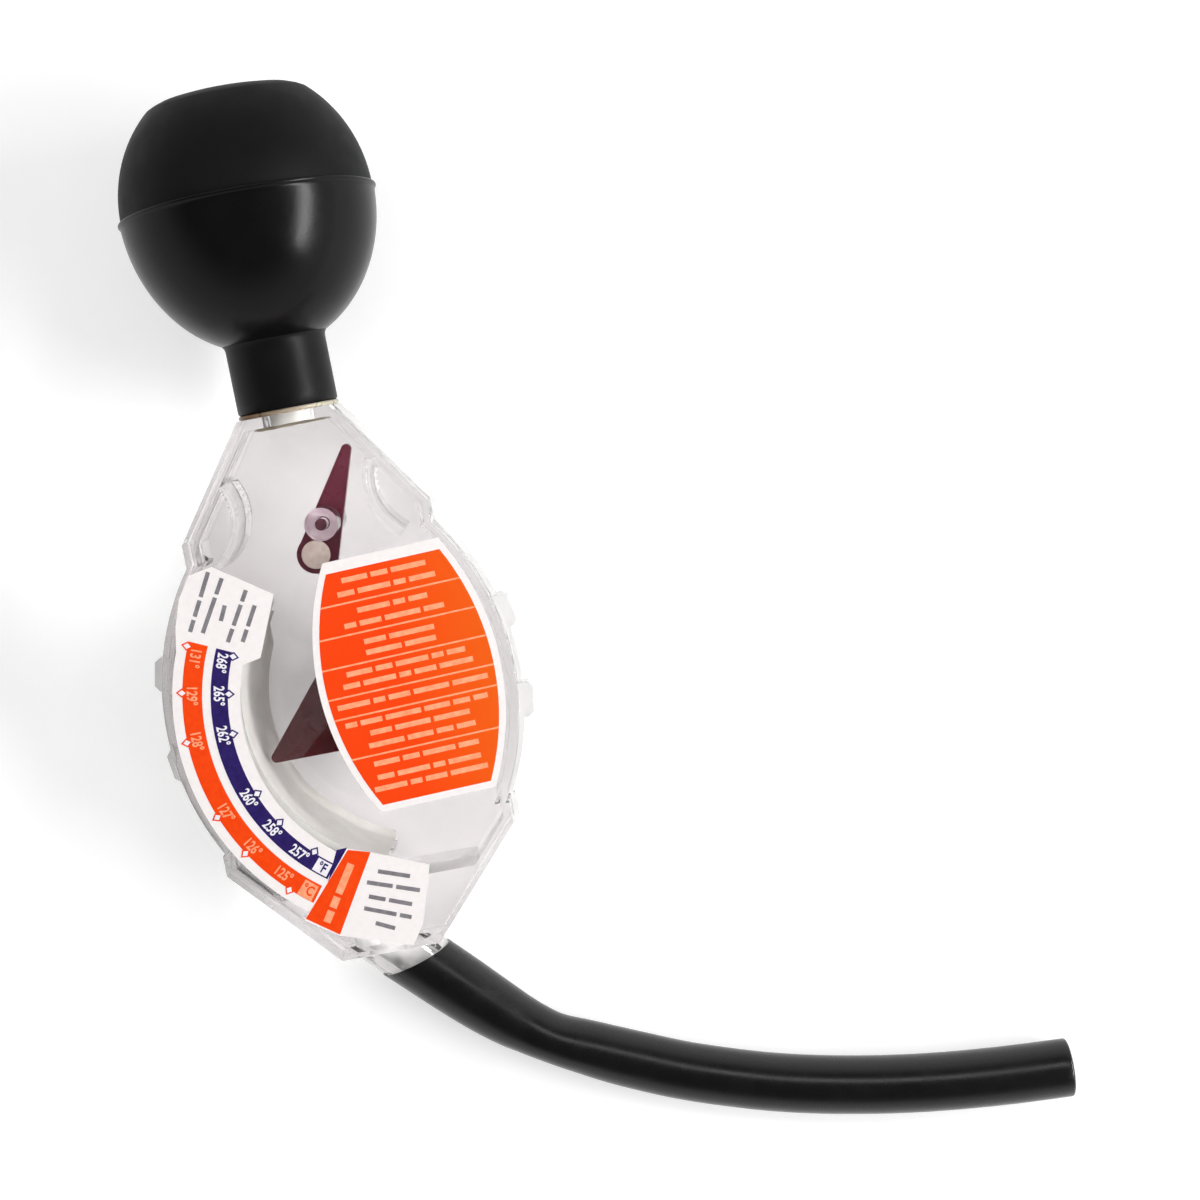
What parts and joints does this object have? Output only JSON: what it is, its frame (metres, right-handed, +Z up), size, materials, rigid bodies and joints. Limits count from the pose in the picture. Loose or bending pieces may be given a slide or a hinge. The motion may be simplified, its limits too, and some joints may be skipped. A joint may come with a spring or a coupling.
{
  "type": "antifreeze tester",
  "caption": "Hand-held coolant tester: clear flat casing with a float pointer over a curved scale, a level pointer, a black rubber squeeze bulb on top and a short suction hose below.",
  "frame": {"origin": "on the table, under the middle of the tester's bounding box, measured without the hose", "axes": "+Y along the tester from the hose end to the bulb, +Z up through the front face as it lies on its back, +X to the side where the hose leaves"},
  "size_m": [0.1706, 0.2333, 0.0516],
  "materials": {
    "clear_plastic": "clear, glossy",
    "bulb_rubber": "satin black, dull above its parting line",
    "cement": "amber, see-through bead",
    "hose_rubber": "satin black",
    "pointer_plastic": "dark maroon, semi-gloss",
    "brass": "turned",
    "pin_steel": "drawn wire",
    "weight_metal": "dull, pinkish grey",
    "orange_print": "printed film, orange with a white border",
    "label_paper": "printed film, white with navy and orange bands"
  },
  "bodies": {
    "casing": {"front_cover": "clear_plastic", "rear_cover": "clear_plastic", "bulb_cement": "cement", "suction_hose": "hose_rubber", "float_pin": "pin_steel", "level_pin": "pin_steel", "instruction_label": "orange_print", "front_scale_label": "label_paper", "rear_scale_label": "label_paper"},
    "bulb": {"squeeze_bulb": "bulb_rubber"},
    "float": {"float_pointer": "pointer_plastic", "float_slug": "brass"},
    "level": {"level_pointer": "pointer_plastic", "level_weight": "weight_metal"}
  },
  "joints": [
    {"name": "float_swing", "type": "hinge", "parent": "casing", "child": "float", "pos_m": [0.015, -0.02617, 0.01511], "axis": [0, -0.1056, 0.9944], "range_deg": [-40, 34]},
    {"name": "level_swing", "type": "hinge", "parent": "casing", "child": "level", "pos_m": [0.003, 0.00963, 0.01891], "axis": [0, -0.1056, 0.9944], "range_deg": [-6, 60]},
    {"name": "bulb_squeeze", "type": "slide", "parent": "casing", "child": "bulb", "axis": [0, -0.9944, -0.1056], "range_m": [0, 0.012], "stiffness_N_per_m": 600, "deforming": ["squeeze_bulb"]}
  ]
}
